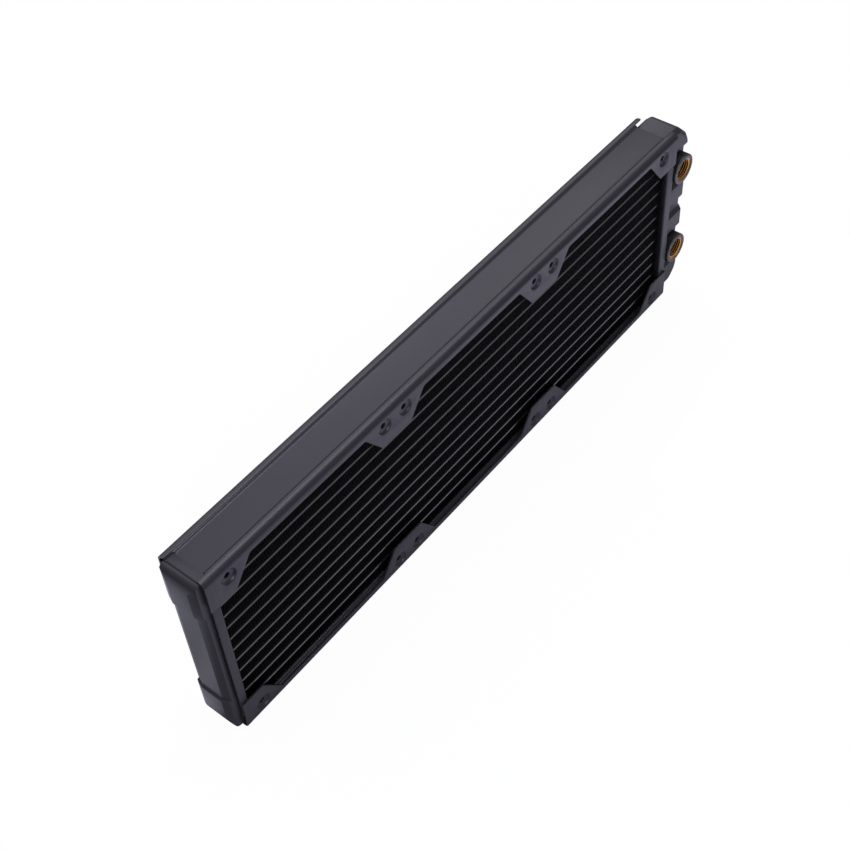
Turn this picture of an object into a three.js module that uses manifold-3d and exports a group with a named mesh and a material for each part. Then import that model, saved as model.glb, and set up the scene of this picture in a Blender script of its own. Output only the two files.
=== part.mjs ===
// Slim liquid cooling radiator for a row of 120 mm fans, in millimetres.
// X runs along the radiator to the port end, -Y is the front face with the ports, +Z is up.
// The pieces are laid out about the middle of the fan field. The outer group then puts the origin
// under the middle of the whole radiator, on the surface that its lower side stands on.

import * as THREE from "three";
import { mergeVertices } from "three/addons/utils/BufferGeometryUtils.js";
import Module from "manifold-3d";

// ---- Driving dimensions ----

// Fan field
const fanCount = 3;
const fanPitch = 120;
const screwPitch = 105;

// Frame
const frameWidth = 122;
const frameDepth = 28.6;
const sheet = 1;
const bendRadius = 3.6;
const bendSteps = 4;
const frameOverhang = 6; // side plates past the fan field at each end
const barWidth = 6; // upright end bars
const barLap = 10; // bar behind the corner tabs
const flangeReach = 5.65; // flange between the tabs
const tabPastScrew = 12; // tab past its screw places, towards the middle
const tabBorder = 3.25; // tab beside the middles of its screw places, at the tip
const tabSplay = 10.75; // middle tab's side, from tip to root
const cornerBorder = 2.2; // as tabBorder, on a corner tab
const cornerSplay = 11.3; // as tabSplay, on a corner tab
const panelWidth = 15.8; // sunk panel along each side plate
const panelSlope = 2.3;
const panelDepth = 1.2;
const screwHole = 3.2;
const dimpleFloor = 7;
const dimpleMouth = 9.6;
const dimpleDepth = 1.3;

// Core
const tubeCount = 12;
const tubeThickness = 2;
const tubeWall = 0.4;
const tubeProud = 1.1; // tube end past its header, inside the tank
const finSetback = 0.3; // fins behind the tubes' noses
const finSheet = 0.6;
const foldPitch = 18;
const headerThickness = 1.5;

// Tanks
const tankSetback = 3.3; // tanks behind the frame's front and back
const tankWall = 1.2;
const tankEdge = 2.5; // bevel round the outer edges
const tankStart = 0.3; // a tank's mouth past the fan field
const portTankCorner = [11.6, 11.6]; // cut corner, along X and along Z
const returnTankReach = 10.5; // past the fan field
const returnTankCorner = [5.2, 6.2];
const returnStep = 1.1; // middle section sunk into the return tank
const returnStepHeight = 35; // where that section ends, from the middle
const landDepth = 2.2; // sunk seats and groove on the port tank's front
const baffleThickness = 1.5;

// Ports
const portPitch = 59.5;
const seatBorder = 3.25; // sunk seat above and below a collar
const grooveHeight = 9; // sunk groove over the baffle
const collarRadius = 9.25;
const collarLip = 0.8;
const collarChamfer = 0.4;
const bushWall = 0.72; // thread bush outside the thread
const spigotWall = 0.85;
const spigotPast = 0.5; // spigot past the tank's wall
const threadMajor = 6.58; // G1/4
const threadMinor = 5.75;
const threadPitch = 1.337;
const threadCrest = 0.2; // flat between two grooves

// Clearances
const brazeGap = 0.15; // round each tube, in its header and against the fins
const fitGap = 0.2; // between a tank and what is in it or round it
const tankGap = 1.2; // between a tank and the web of a side plate
const headerGap = 0.1; // between a header and its tank
const finEndGap = 0.6; // between a fin strip and a header
const finEdgeGap = 1.45; // between an outer fin strip and its side plate
const bushFit = 0.15; // between a thread bush and its collar
const collarGap = 1.25; // between the frame's end and a collar
const collarMargin = 0.25; // port tank's end past a collar

// ---- Derived sizes ----

const fieldHalf = (fanCount * fanPitch) / 2;
const plateHalf = fieldHalf + frameOverhang;
const halfWidth = frameWidth / 2;
const halfDepth = frameDepth / 2;

// Tabs: their tips stand past the screw places, which are tied to the fans.
const tabTipZ = screwPitch / 2 - tabPastScrew;
const tabRootZ = halfWidth - flangeReach;
const tabTipHalf = (fanPitch - screwPitch) / 2 + tabBorder;
const tabRootHalf = tabTipHalf + tabSplay;
const cornerTip = (fanPitch - screwPitch) / 2 + cornerBorder; // in from the end of the fan field
const cornerRoot = cornerTip + cornerSplay;

// Tanks fit between the side plates.
const tankDepth = frameDepth - 2 * tankSetback;
const tankHalfDepth = tankDepth / 2;
const tankHalfHeight = halfWidth - sheet - tankGap;
const tankMouth = fieldHalf + tankStart;
const seatY = -tankHalfDepth + landDepth; // floor of the sunk seats
const portX = plateHalf + collarGap + collarRadius;
const portTankReach = portX + collarRadius + collarMargin - fieldHalf;
const portSeatHeight = 2 * (collarRadius + seatBorder);
const spigotLength = tankWall + spigotPast;
const bushRadius = threadMajor + bushWall;

// The core fills the space between the pressed panels, and its tubes end inside the tanks.
const panelInside = halfWidth - panelDepth - sheet;
const slotThickness = tubeThickness + 2 * brazeGap;
const tubePitch = (2 * (panelInside - finEdgeGap) + slotThickness) / (tubeCount + 1);
const tubeDepth = 2 * (tankHalfDepth - tankWall - fitGap);
const headerOutside = tankMouth - headerGap;
const headerInside = headerOutside - headerThickness;
const tubeHalfLength = headerOutside + tubeProud;
const finDepth = tubeDepth - 2 * finSetback;
const finHeight = tubePitch - slotThickness;
const finHalfLength = headerInside - finEndGap;

const lengthMiddle = (portTankReach - returnTankReach) / 2;

// ---- Geometry helpers ----

const wasm = await Module();
wasm.setup();

// A closed three.js geometry as a manifold-3d solid.
function solid(geometry) {
  const bare = geometry.clone();
  bare.deleteAttribute("normal");
  bare.deleteAttribute("uv");
  const merged = mergeVertices(bare, 1e-4);
  return new wasm.Manifold(
    new wasm.Mesh({
      numProp: 3,
      vertProperties: merged.attributes.position.array,
      triVerts: new Uint32Array(merged.index.array),
    }),
  );
}

// A manifold-3d solid as a three.js geometry.
function geometryOf(body) {
  const mesh = body.getMesh();
  const geometry = new THREE.BufferGeometry();
  const positions = new Float32Array(mesh.numVert * 3);
  for (let i = 0; i < mesh.numVert; i++) {
    const start = i * mesh.numProp;
    positions.set(mesh.vertProperties.subarray(start, start + 3), i * 3);
  }
  geometry.setAttribute("position", new THREE.BufferAttribute(positions, 3));
  geometry.setIndex(new THREE.BufferAttribute(mesh.triVerts, 1));
  geometry.computeVertexNormals();
  return geometry;
}

function outline(points) {
  return new THREE.Shape(points.map(([a, b]) => new THREE.Vector2(a, b)));
}

const axisX = new THREE.Vector3(1, 0, 0);
const axisY = new THREE.Vector3(0, 1, 0);
const axisZ = new THREE.Vector3(0, 0, 1);

// An outline in Y and Z, extruded along X.
function alongX(shape, from, to) {
  const options = { depth: to - from, bevelEnabled: false, curveSegments: 2 };
  return new THREE.ExtrudeGeometry(shape, options)
    .applyMatrix4(new THREE.Matrix4().makeBasis(axisY, axisZ, axisX))
    .translate(from, 0, 0);
}

// An outline in X and Z, extruded along Y; edge bevels both of its ends inwards.
function alongY(shape, from, to, edge = 0) {
  const options = {
    depth: to - from - 2 * edge,
    bevelEnabled: edge > 0,
    bevelThickness: edge,
    bevelSize: edge,
    bevelOffset: -edge,
    bevelSegments: 1,
  };
  return new THREE.ExtrudeGeometry(shape, options)
    .rotateX(Math.PI / 2)
    .translate(0, to - edge, 0);
}

function block(low, high) {
  const size = high.map((value, i) => value - low[i]);
  const middle = high.map((value, i) => (value + low[i]) / 2);
  return new THREE.BoxGeometry(...size).translate(...middle);
}

// A profile of [radius, height] points turned about Y, with height along +Y.
function turned(profile, segments) {
  const points = profile.map(([r, h]) => new THREE.Vector2(r, h));
  return new THREE.LatheGeometry(points, segments);
}

// ---- Materials ----

function finish(color, roughness, metalness) {
  return new THREE.MeshStandardMaterial({ color, roughness, metalness });
}

const blackCoat = finish(0x3c3b40, 0.5, 0.1);
const coreBlack = finish(0x1b1b1e, 0.6, 0.2);
const tubeCoat = finish(0x55565a, 0.45, 0.3);
const brass = finish(0xc99a4a, 0.3, 1);

const layout = new THREE.Group();

function add(name, geometry, material) {
  const mesh = new THREE.Mesh(geometry, material);
  mesh.name = name;
  layout.add(mesh);
  return mesh;
}

// ---- Side plates ----

// The channel's section in Y and Z, open towards the core. side is 1 for the upper plate and -1 for
// the lower one, and sunk gives it the pressed panel.
function channelSection(side, sunk) {
  const inside = halfDepth - sheet;
  const innerBend = bendRadius - sheet;
  const panelHalf = panelWidth / 2;
  const panelRim = panelHalf + panelSlope;
  const floor = halfWidth - panelDepth;
  const shape = new THREE.Shape();
  const line = (y, z) => shape.lineTo(y, side * z);
  const bend = (y, z, endY, endZ) => {
    const start = shape.currentPoint.clone();
    const corner = new THREE.Vector2(y, side * z);
    const end = new THREE.Vector2(endY, side * endZ);
    const curve = new THREE.QuadraticBezierCurve(start, corner, end);
    for (const point of curve.getPoints(bendSteps).slice(1)) {
      shape.lineTo(point.x, point.y);
    }
  };
  shape.moveTo(-halfDepth, side * tabTipZ);
  line(-halfDepth, halfWidth - bendRadius);
  bend(-halfDepth, halfWidth, -halfDepth + bendRadius, halfWidth);
  if (sunk) {
    line(-panelRim, halfWidth);
    line(-panelHalf, floor);
    line(panelHalf, floor);
    line(panelRim, halfWidth);
  }
  line(halfDepth - bendRadius, halfWidth);
  bend(halfDepth, halfWidth, halfDepth, halfWidth - bendRadius);
  line(halfDepth, tabTipZ);
  line(inside, tabTipZ);
  line(inside, halfWidth - bendRadius);
  bend(inside, halfWidth - sheet, inside - innerBend, halfWidth - sheet);
  if (sunk) {
    line(panelRim, halfWidth - sheet);
    line(panelHalf, floor - sheet);
    line(-panelHalf, floor - sheet);
    line(-panelRim, halfWidth - sheet);
  }
  line(-inside + innerBend, halfWidth - sheet);
  bend(-inside, halfWidth - sheet, -inside, halfWidth - bendRadius);
  line(-inside, tabTipZ);
  return shape;
}

// The window between two tabs, as an outline in X and Z that reaches past the tab tips.
function tabWindow(side, tipFrom, rootFrom, rootTo, tipTo) {
  const past = tabTipZ - 2;
  const points = [
    [tipFrom, past],
    [tipFrom, tabTipZ],
    [rootFrom, tabRootZ],
    [rootTo, tabRootZ],
    [tipTo, tabTipZ],
    [tipTo, past],
  ];
  return outline(points.map(([x, z]) => [x, side * z]));
}

// Screw places along the row: a pair for each fan.
const screwX = [];
for (let fan = 0; fan < fanCount; fan++) {
  const middle = (fan - (fanCount - 1) / 2) * fanPitch;
  screwX.push(middle - screwPitch / 2, middle + screwPitch / 2);
}

// One pressed screw dimple: the sheet it adds behind the flange, and the bowl and hole it takes away.
function dimple(x, z, face) {
  const mouth = dimpleMouth / 2;
  const floor = dimpleFloor / 2;
  const place = (geometry) => {
    const aimed = face < 0 ? geometry : geometry.rotateX(Math.PI);
    return aimed.translate(x, face * halfDepth, z);
  };
  const back = dimpleDepth + sheet;
  const cup = [
    [0, sheet / 2],
    [mouth + sheet, sheet / 2],
    [mouth + sheet, sheet],
    [floor + sheet, back],
    [0, back],
  ];
  const bowl = [
    [0, -1],
    [mouth, -1],
    [mouth, 0],
    [floor, dimpleDepth],
    [0, dimpleDepth],
  ];
  const hole = [
    [0, -1],
    [screwHole / 2, -1],
    [screwHole / 2, back + 1],
    [0, back + 1],
  ];
  return {
    cup: solid(place(turned(cup, 12))),
    cut: solid(place(turned(bowl, 12))).add(solid(place(turned(hole, 10)))),
  };
}

function sidePlate(side) {
  const rimInside = panelWidth / 2 + panelSlope;
  let plate = solid(alongX(channelSection(side, false), -plateHalf, -fieldHalf))
    .add(solid(alongX(channelSection(side, true), -fieldHalf, fieldHalf)))
    .add(solid(alongX(channelSection(side, false), fieldHalf, plateHalf)));
  // The web stops at the port tank, whose flat top shows between the rims.
  const web = [side * (halfWidth - bendRadius - 1), side * (halfWidth + 1)];
  const low = [fieldHalf, -rimInside, Math.min(...web)];
  const high = [plateHalf + 1, rimInside, Math.max(...web)];
  plate = plate.subtract(solid(block(low, high)));
  // Windows between the tabs, through both flanges.
  const tabs = [];
  for (let gap = 1; gap < fanCount; gap++) {
    tabs.push((gap - fanCount / 2) * fanPitch);
  }
  const tipsRight = [-fieldHalf + cornerTip, ...tabs.map((x) => x + tabTipHalf)];
  const rootsRight = [-fieldHalf + cornerRoot, ...tabs.map((x) => x + tabRootHalf)];
  const rootsLeft = [...tabs.map((x) => x - tabRootHalf), fieldHalf - cornerRoot];
  const tipsLeft = [...tabs.map((x) => x - tabTipHalf), fieldHalf - cornerTip];
  for (let i = 0; i < fanCount; i++) {
    const window = tabWindow(side, tipsRight[i], rootsRight[i], rootsLeft[i], tipsLeft[i]);
    plate = plate.subtract(solid(alongY(window, -halfDepth - 1, halfDepth + 1)));
  }
  for (const face of [-1, 1]) {
    for (const x of screwX) {
      const { cup, cut } = dimple(x, (side * screwPitch) / 2, face);
      plate = plate.add(cup).subtract(cut);
    }
  }
  return geometryOf(plate);
}

add("upper_side_plate", sidePlate(1), blackCoat);
add("lower_side_plate", sidePlate(-1), blackCoat);

// ---- End bars ----

// An upright angle strip behind the corner tabs; its inner edge is turned in towards the tank.
function endBar(end, face) {
  const outside = halfDepth - sheet;
  const turnIn = tankHalfDepth + fitGap;
  const section = [
    [plateHalf - barWidth, turnIn],
    [plateHalf - barWidth + sheet, turnIn],
    [plateHalf - barWidth + sheet, outside - sheet],
    [plateHalf, outside - sheet],
    [plateHalf, outside],
    [plateHalf - barWidth, outside],
  ];
  const half = tabTipZ + barLap;
  const shape = outline(section.map(([x, y]) => [end * x, face * y]));
  const options = { depth: 2 * half, bevelEnabled: false };
  return new THREE.ExtrudeGeometry(shape, options).translate(0, 0, -half);
}

add("front_left_bar", endBar(-1, -1), blackCoat);
add("front_right_bar", endBar(1, -1), blackCoat);
add("rear_left_bar", endBar(-1, 1), blackCoat);
add("rear_right_bar", endBar(1, 1), blackCoat);

// ---- Core: tubes, fins and headers ----

const tubeZ = [];
for (let i = 0; i < tubeCount; i++) {
  tubeZ.push((i - (tubeCount - 1) / 2) * tubePitch);
}

// A flat tube's outline in Y and Z with round noses.
function flatTube(z, depth, thickness, target = new THREE.Shape()) {
  const straight = (depth - thickness) / 2;
  target.absarc(straight, z, thickness / 2, -Math.PI / 2, Math.PI / 2, false);
  target.absarc(-straight, z, thickness / 2, Math.PI / 2, (3 * Math.PI) / 2, false);
  return target;
}

tubeZ.forEach((z, i) => {
  const shape = flatTube(z, tubeDepth, tubeThickness);
  const inner = [tubeDepth - 2 * tubeWall, tubeThickness - 2 * tubeWall];
  shape.holes.push(flatTube(z, ...inner, new THREE.Path()));
  const name = "tube_" + String(i + 1).padStart(2, "0");
  add(name, alongX(shape, -tubeHalfLength, tubeHalfLength), tubeCoat);
});

// A folded fin strip: one ribbon that zigzags between its two neighbours. finSheet is its height
// measured along Z, so that both sides keep their points on the same places along X.
function finStrip(z) {
  const folds = 2 * Math.round(finHalfLength / foldPitch);
  const step = (2 * finHalfLength) / folds;
  const low = z - finHeight / 2;
  const high = z + finHeight / 2;
  const upper = [[-finHalfLength, low + finSheet]];
  const lower = [[-finHalfLength, low]];
  for (let i = 0; i < folds; i++) {
    const start = -finHalfLength + i * step;
    upper.push([start + step / 2, high], [start + step, low + finSheet]);
    lower.push([start + step / 2, high - finSheet], [start + step, low]);
  }
  return alongY(outline([...lower, ...upper.reverse()]), -finDepth / 2, finDepth / 2);
}

for (let i = 0; i <= tubeCount; i++) {
  const name = "fin_" + String(i + 1).padStart(2, "0");
  add(name, finStrip((i - tubeCount / 2) * tubePitch), coreBlack);
}

// A header plate: a slot for each tube.
function header(end) {
  const shape = outline([
    [-tankHalfDepth, -panelInside + fitGap],
    [tankHalfDepth, -panelInside + fitGap],
    [tankHalfDepth, panelInside - fitGap],
    [-tankHalfDepth, panelInside - fitGap],
  ]);
  for (const z of tubeZ) {
    const slot = flatTube(z, tubeDepth + 2 * brazeGap, slotThickness, new THREE.Path());
    shape.holes.push(slot);
  }
  const reach = [end * headerInside, end * headerOutside];
  return alongX(shape, Math.min(...reach), Math.max(...reach));
}

add("return_header", header(-1), coreBlack);
add("port_header", header(1), coreBlack);

// ---- Tanks ----

// A tank's block with cut corners and bevelled outer edges, shrunk on every side by inset.
// Its outline runs past the mouth and the flat top and bottom, where trimming leaves them square.
function tankBlock(end, reach, corner, inset) {
  const far = fieldHalf + reach - inset;
  const top = tankHalfHeight - inset;
  const past = 2 * tankEdge;
  const [run, rise] = corner;
  const runPast = (past * run) / rise;
  const inner = tankMouth - tankDepth;
  const points = [
    [inner, -top - past],
    [far - run - runPast, -top - past],
    [far, -top + rise],
    [far, top - rise],
    [far - run - runPast, top + past],
    [inner, top + past],
  ];
  const shape = outline(points.map(([x, z]) => [end * x, z]));
  const half = tankHalfDepth - inset;
  const body = solid(alongY(shape, -half, half, tankEdge));
  const ends = [end * tankMouth, end * (far + 1)];
  const low = [Math.min(...ends), -half - 1, -top];
  const high = [Math.max(...ends), half + 1, top];
  return body.intersect(solid(block(low, high)));
}

// The return tank's body, shrunk by inset, with its middle sunk beyond the frame's end bars.
function returnBody(inset) {
  const shape = [-1, returnTankReach, returnTankCorner];
  const height = returnStepHeight + inset;
  const low = [-fieldHalf - returnTankReach - 1, -tankHalfDepth, -height];
  const high = [-plateHalf - fitGap + inset, tankHalfDepth, height];
  return tankBlock(...shape, inset)
    .subtract(solid(block(low, high)))
    .add(tankBlock(...shape, inset + returnStep));
}

function returnTank() {
  return geometryOf(returnBody(0).subtract(returnBody(tankWall)));
}

add("return_tank", returnTank(), blackCoat);

// A sunk place on the port tank's front, grown by extra on every side.
function frontSink(z, height, extra) {
  const low = [plateHalf + fitGap - extra, -tankHalfDepth - 1, z - height / 2 - extra];
  const high = [fieldHalf + portTankReach + 1, seatY + extra, z + height / 2 + extra];
  return solid(block(low, high));
}

const portZ = [-portPitch / 2, portPitch / 2];

function portTank() {
  const shape = [1, portTankReach, portTankCorner];
  let shell = tankBlock(...shape, 0);
  let hollow = tankBlock(...shape, tankWall);
  const sinks = [...portZ.map((z) => [z, portSeatHeight]), [0, grooveHeight]];
  for (const [z, height] of sinks) {
    shell = shell.subtract(frontSink(z, height, 0));
    hollow = hollow.subtract(frontSink(z, height, tankWall));
  }
  shell = shell.subtract(hollow);
  const radius = bushRadius + bushFit + spigotWall + fitGap;
  for (const z of portZ) {
    const bore = new THREE.CylinderGeometry(radius, radius, 2 * tankWall + 2, 28);
    shell = shell.subtract(solid(bore.translate(portX, seatY, z)));
  }
  return geometryOf(shell);
}

add("port_tank", portTank(), blackCoat);

// The baffle stands on the tank's groove and closes its section at the middle.
const baffleFront = seatY + tankWall + fitGap;
const baffleBack = tankHalfDepth - tankWall - fitGap;
const baffleFar = fieldHalf + portTankReach - tankWall - fitGap;
const baffleCut = tankEdge;
const baffleShape = outline([
  [tankMouth + fitGap, baffleFront],
  [baffleFar, baffleFront],
  [baffleFar, baffleBack - baffleCut],
  [baffleFar - baffleCut, baffleBack],
  [tankMouth + fitGap, baffleBack],
]);
const baffleOptions = { depth: baffleThickness, bevelEnabled: false };
const baffle = new THREE.ExtrudeGeometry(baffleShape, baffleOptions);
add("tank_baffle", baffle.translate(0, 0, -baffleThickness / 2), coreBlack);

// ---- Ports ----

// The collar sits on the tank's sunk seat with a spigot through its wall; its lip holds the thread.
function collar() {
  const bore = bushRadius + bushFit;
  const spigot = bore + spigotWall;
  const front = -halfDepth;
  const profile = [
    [threadMajor, front + collarChamfer],
    [threadMajor + collarChamfer, front],
    [collarRadius - collarChamfer, front],
    [collarRadius, front + collarChamfer],
    [collarRadius, seatY],
    [spigot, seatY],
    [spigot, seatY + spigotLength],
    [bore, seatY + spigotLength],
    [bore, front + collarLip],
    [threadMajor, front + collarLip],
    [threadMajor, front + collarChamfer],
  ];
  return turned(profile, 28);
}

// The brass thread bush: its V grooves stand for the turns of the thread.
function threadBush() {
  const front = -halfDepth + collarLip + bushFit;
  const back = seatY + spigotLength;
  const turns = Math.floor((back - front) / threadPitch);
  const start = front + (back - front - turns * threadPitch) / 2;
  const profile = [[threadMajor, front]];
  for (let i = 0; i < turns; i++) {
    const turn = start + i * threadPitch;
    profile.push([threadMajor, turn + threadCrest / 2]);
    profile.push([threadMinor, turn + threadPitch / 2]);
    profile.push([threadMajor, turn + threadPitch - threadCrest / 2]);
  }
  profile.push([threadMajor, back], [bushRadius, back], [bushRadius, front]);
  profile.push([threadMajor, front]);
  return turned(profile.reverse(), 20);
}

const portNames = ["lower_port", "upper_port"];
portZ.forEach((z, i) => {
  add(portNames[i] + "_collar", collar(), blackCoat).position.set(portX, 0, z);
  add(portNames[i] + "_thread", threadBush(), brass).position.set(portX, 0, z);
});

layout.position.set(-lengthMiddle, 0, halfWidth);

const radiator = new THREE.Group();
radiator.add(layout);

export default radiator;
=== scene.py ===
"""A slim liquid cooling radiator for three 120 mm fans: detailed pieces, finishes and studio, built
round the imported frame. Lengths in `at` and in the piece functions are millimetres from the middle
of the fan field, and every finished mesh is in the frame's metres."""

import functools
import math

import bmesh
import bpy
from bpy.props import FloatProperty, FloatVectorProperty, IntProperty, PointerProperty
from mathutils import Matrix, Vector


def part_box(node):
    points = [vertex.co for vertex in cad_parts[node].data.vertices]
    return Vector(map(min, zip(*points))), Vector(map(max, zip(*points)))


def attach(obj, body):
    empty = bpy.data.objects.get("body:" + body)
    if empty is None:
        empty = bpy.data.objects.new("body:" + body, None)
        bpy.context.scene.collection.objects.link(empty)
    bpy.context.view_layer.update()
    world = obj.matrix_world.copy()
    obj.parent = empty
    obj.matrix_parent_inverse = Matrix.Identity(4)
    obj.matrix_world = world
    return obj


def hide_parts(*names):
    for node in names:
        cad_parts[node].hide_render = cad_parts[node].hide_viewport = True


bl_info = {
    "name": "Slim Radiator",
    "version": (1, 0, 0),
    "blender": (4, 5, 0),
    "location": "3D View > Sidebar > Radiator",
    "description": "Builds the detailed pieces, finishes and studio of a slim cooling radiator",
    "category": "Add Mesh",
}

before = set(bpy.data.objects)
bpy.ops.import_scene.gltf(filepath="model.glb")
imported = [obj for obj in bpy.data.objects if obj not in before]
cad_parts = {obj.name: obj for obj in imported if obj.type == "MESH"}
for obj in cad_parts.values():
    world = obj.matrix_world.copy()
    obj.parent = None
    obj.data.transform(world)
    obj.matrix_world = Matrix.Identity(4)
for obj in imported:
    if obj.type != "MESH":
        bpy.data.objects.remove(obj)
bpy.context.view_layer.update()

MM = 0.001
PLATE_LOW, PLATE_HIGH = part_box("upper_side_plate")
LOWER_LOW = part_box("lower_side_plate")[0]
FIELD = Vector(((PLATE_LOW.x + PLATE_HIGH.x) / 2, 0, (LOWER_LOW.z + PLATE_HIGH.z) / 2))


def at(x, y, z):
    """A point given in millimetres from the middle of the fan field."""
    return FIELD + Vector((x, y, z)) * MM


def from_field(point):
    return (point - FIELD) / MM


def corners(node):
    """Lowest and highest corner of a frame node, in millimetres from the middle of the fan field."""
    low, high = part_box(node)
    return from_field(low), from_field(high)


def middle_of(node):
    """The middle of a frame node, in millimetres from the middle of the fan field."""
    return [(low + high) / 2 for low, high in zip(*corners(node))]


PLATE = corners("upper_side_plate")
HALF_LENGTH = PLATE[1].x
HALF_DEPTH = PLATE[1].y
HALF_WIDTH = PLATE[1].z
TAB_TIP = PLATE[0].z
# The pressed panels end this far from the plates' ends.
END_RIM = 6
PANEL_HALF = HALF_LENGTH - END_RIM
FAN_PITCH = 120
# The screws lie this far from their fan's middle, both along the length and along the height.
SCREW = 52.5
SCREW_PLACES = [fan * FAN_PITCH + side * SCREW for fan in (-1, 0, 1) for side in (-1, 1)]
DIMPLE_RADIUS = 4.8
# How far the flanges reach in between the tabs.
FLANGE_REACH = 5.65
TUBES = 12
TUBE_WALL = 0.35
TANK_WALL = 1.2
TURN_STEPS = 72
THREAD_STEPS = 56
# A vertex that lies this near to a place counts as being at it.
NEAR = 0.01


# ---- What a user can change ----


def length_property(name, description, default):
    return FloatProperty(
        name=name, description=description, default=default, subtype="DISTANCE", unit="LENGTH"
    )


def colour_property(name, description, default):
    return FloatVectorProperty(
        name=name, description=description, default=default, subtype="COLOR", size=3, min=0, max=1
    )


class RadiatorSizes(bpy.types.PropertyGroup):
    """Sizes of the details that the frame doesn't fix"""

    sheet: length_property("Sheet", "Thickness of the folded frame", 0.001)
    bend_radius: length_property("Bend radius", "Outer radius of the side plates' folds", 0.0036)
    bend_steps: IntProperty(
        name="Bend steps", description="Faces round each fold", default=10, min=2
    )
    panel_depth: length_property("Panel depth", "How far a side plate's panel is sunk", 0.0011)
    edge_round: length_property("Edge rounding", "Rounding of the sheet's cut edges", 0.00015)
    fin_pitch: length_property("Fin pitch", "Length of one fold of the fin strips", 0.0016)
    fin_sheet: length_property("Fin sheet", "Thickness of the fin strips", 0.0001)
    thread_pitch: length_property("Thread pitch", "Pitch of the port threads", 0.001337)


class RadiatorFinishes(bpy.types.PropertyGroup):
    """Colours of the radiator and its studio"""

    coat: colour_property("Coat", "Powder coat of the frame and the tanks", (0.014, 0.0135, 0.017))
    core: colour_property("Core", "Thin coat on the fins", (0.002, 0.002, 0.0026))
    tube: colour_property("Tubes", "Thin coat on the tubes", (0.006, 0.006, 0.007))
    brass: colour_property("Brass", "Bare metal of the port threads", (1.0, 0.6, 0.2))
    floor: colour_property("Floor", "Studio floor", (0.8, 0.8, 0.86))


# ---- Modelling helpers ----


def clear_selection():
    """Leaves edit mode and deselects everything."""
    if bpy.context.object and bpy.context.object.mode != "OBJECT":
        bpy.ops.object.mode_set(mode="OBJECT")
    bpy.ops.object.select_all(action="DESELECT")


def only(piece):
    clear_selection()
    piece.select_set(True)
    bpy.context.view_layer.objects.active = piece


def edit(piece):
    only(piece)
    bpy.ops.object.mode_set(mode="EDIT")


def begin(name):
    """Names the primitive that was just added, puts its place in its mesh and opens it for editing."""
    piece = bpy.context.object
    piece.name = piece.data.name = name
    bpy.ops.object.transform_apply(location=True, rotation=True, scale=True)
    bpy.ops.object.mode_set(mode="EDIT")
    return piece


def add_block(name, low, high):
    clear_selection()
    low, high = at(*low), at(*high)
    bpy.ops.mesh.primitive_cube_add(size=1, location=(low + high) / 2, scale=high - low)
    return begin(name)


def add_sheet(name, low, high):
    """A level rectangle between two corners of the same height."""
    clear_selection()
    low, high = at(*low), at(*high)
    middle = (low + high) / 2
    bpy.ops.mesh.primitive_plane_add(size=1, location=middle)
    sheet = begin(name)
    bpy.ops.mesh.select_all(action="SELECT")
    size = high - low
    bpy.ops.transform.resize(value=(size.x, size.y, 1), center_override=middle)
    return sheet


def choose(kind, test):
    """In edit mode, selects only the vertices, edges or faces that pass the test. It is given a
    vertex's place, an edge's two ends or a face's middle and normal, in millimetres."""
    bpy.ops.mesh.select_mode(type=kind)
    bpy.ops.mesh.select_all(action="DESELECT")
    made = bmesh.from_edit_mesh(bpy.context.object.data)
    found = 0
    for part in {"VERT": made.verts, "EDGE": made.edges, "FACE": made.faces}[kind]:
        if kind == "VERT":
            given = (from_field(part.co),)
        elif kind == "EDGE":
            given = tuple(from_field(v.co) for v in part.verts)
        else:
            given = (from_field(part.calc_center_median()), part.normal)
        if test(*given):
            part.select_set(True)
            found += 1
    made.select_flush_mode()
    bmesh.update_edit_mesh(bpy.context.object.data)
    if not found:
        raise RuntimeError(f"{bpy.context.object.name}: no {kind.lower()} fits this choice")


def cut(point, normal, clear=False, fill=False):
    """Cuts the whole mesh along a plane. With clear, what lies beyond it goes."""
    bpy.ops.mesh.select_all(action="SELECT")
    bpy.ops.mesh.bisect(
        plane_co=at(*point), plane_no=normal, clear_outer=clear, use_fill=fill, threshold=1e-6
    )


def face_out():
    bpy.ops.mesh.select_all(action="SELECT")
    bpy.ops.mesh.normals_make_consistent(inside=False)


def weld(threshold=1e-6):
    """Merges doubled vertices and turns every face outwards."""
    bpy.ops.mesh.select_all(action="SELECT")
    bpy.ops.mesh.remove_doubles(threshold=threshold)
    face_out()


def shift(x, y, z):
    bpy.ops.transform.translate(value=Vector((x, y, z)) * MM)


def round_edges(width, segments=3):
    bpy.ops.mesh.bevel(
        offset=width * MM,
        offset_type="OFFSET",
        segments=segments,
        affect="EDGES",
        clamp_overlap=True,
    )


def apply(piece, kind, **settings):
    """Adds a modifier with these settings and applies it."""
    only(piece)
    modifier = piece.modifiers.new(kind.title(), kind)
    for name, value in settings.items():
        setattr(modifier, name, value)
    bpy.ops.object.modifier_apply(modifier=modifier.name)


def soften(piece, width, segments, angle):
    """Rounds the edges that turn by more than this angle in degrees. The width is in metres."""
    apply(
        piece,
        "BEVEL",
        width=width,
        segments=segments,
        limit_method="ANGLE",
        angle_limit=math.radians(angle),
    )


def discard(piece):
    mesh = piece.data
    bpy.data.objects.remove(piece)
    bpy.data.meshes.remove(mesh)


def carve(piece, cutter):
    """Takes the cutter's solid away from the piece, and the cutter with it."""
    apply(piece, "BOOLEAN", operation="DIFFERENCE", solver="EXACT", object=cutter)
    discard(cutter)


def join(pieces):
    only(pieces[0])
    for piece in pieces[1:]:
        piece.select_set(True)
    bpy.ops.object.join()
    return bpy.context.object


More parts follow.
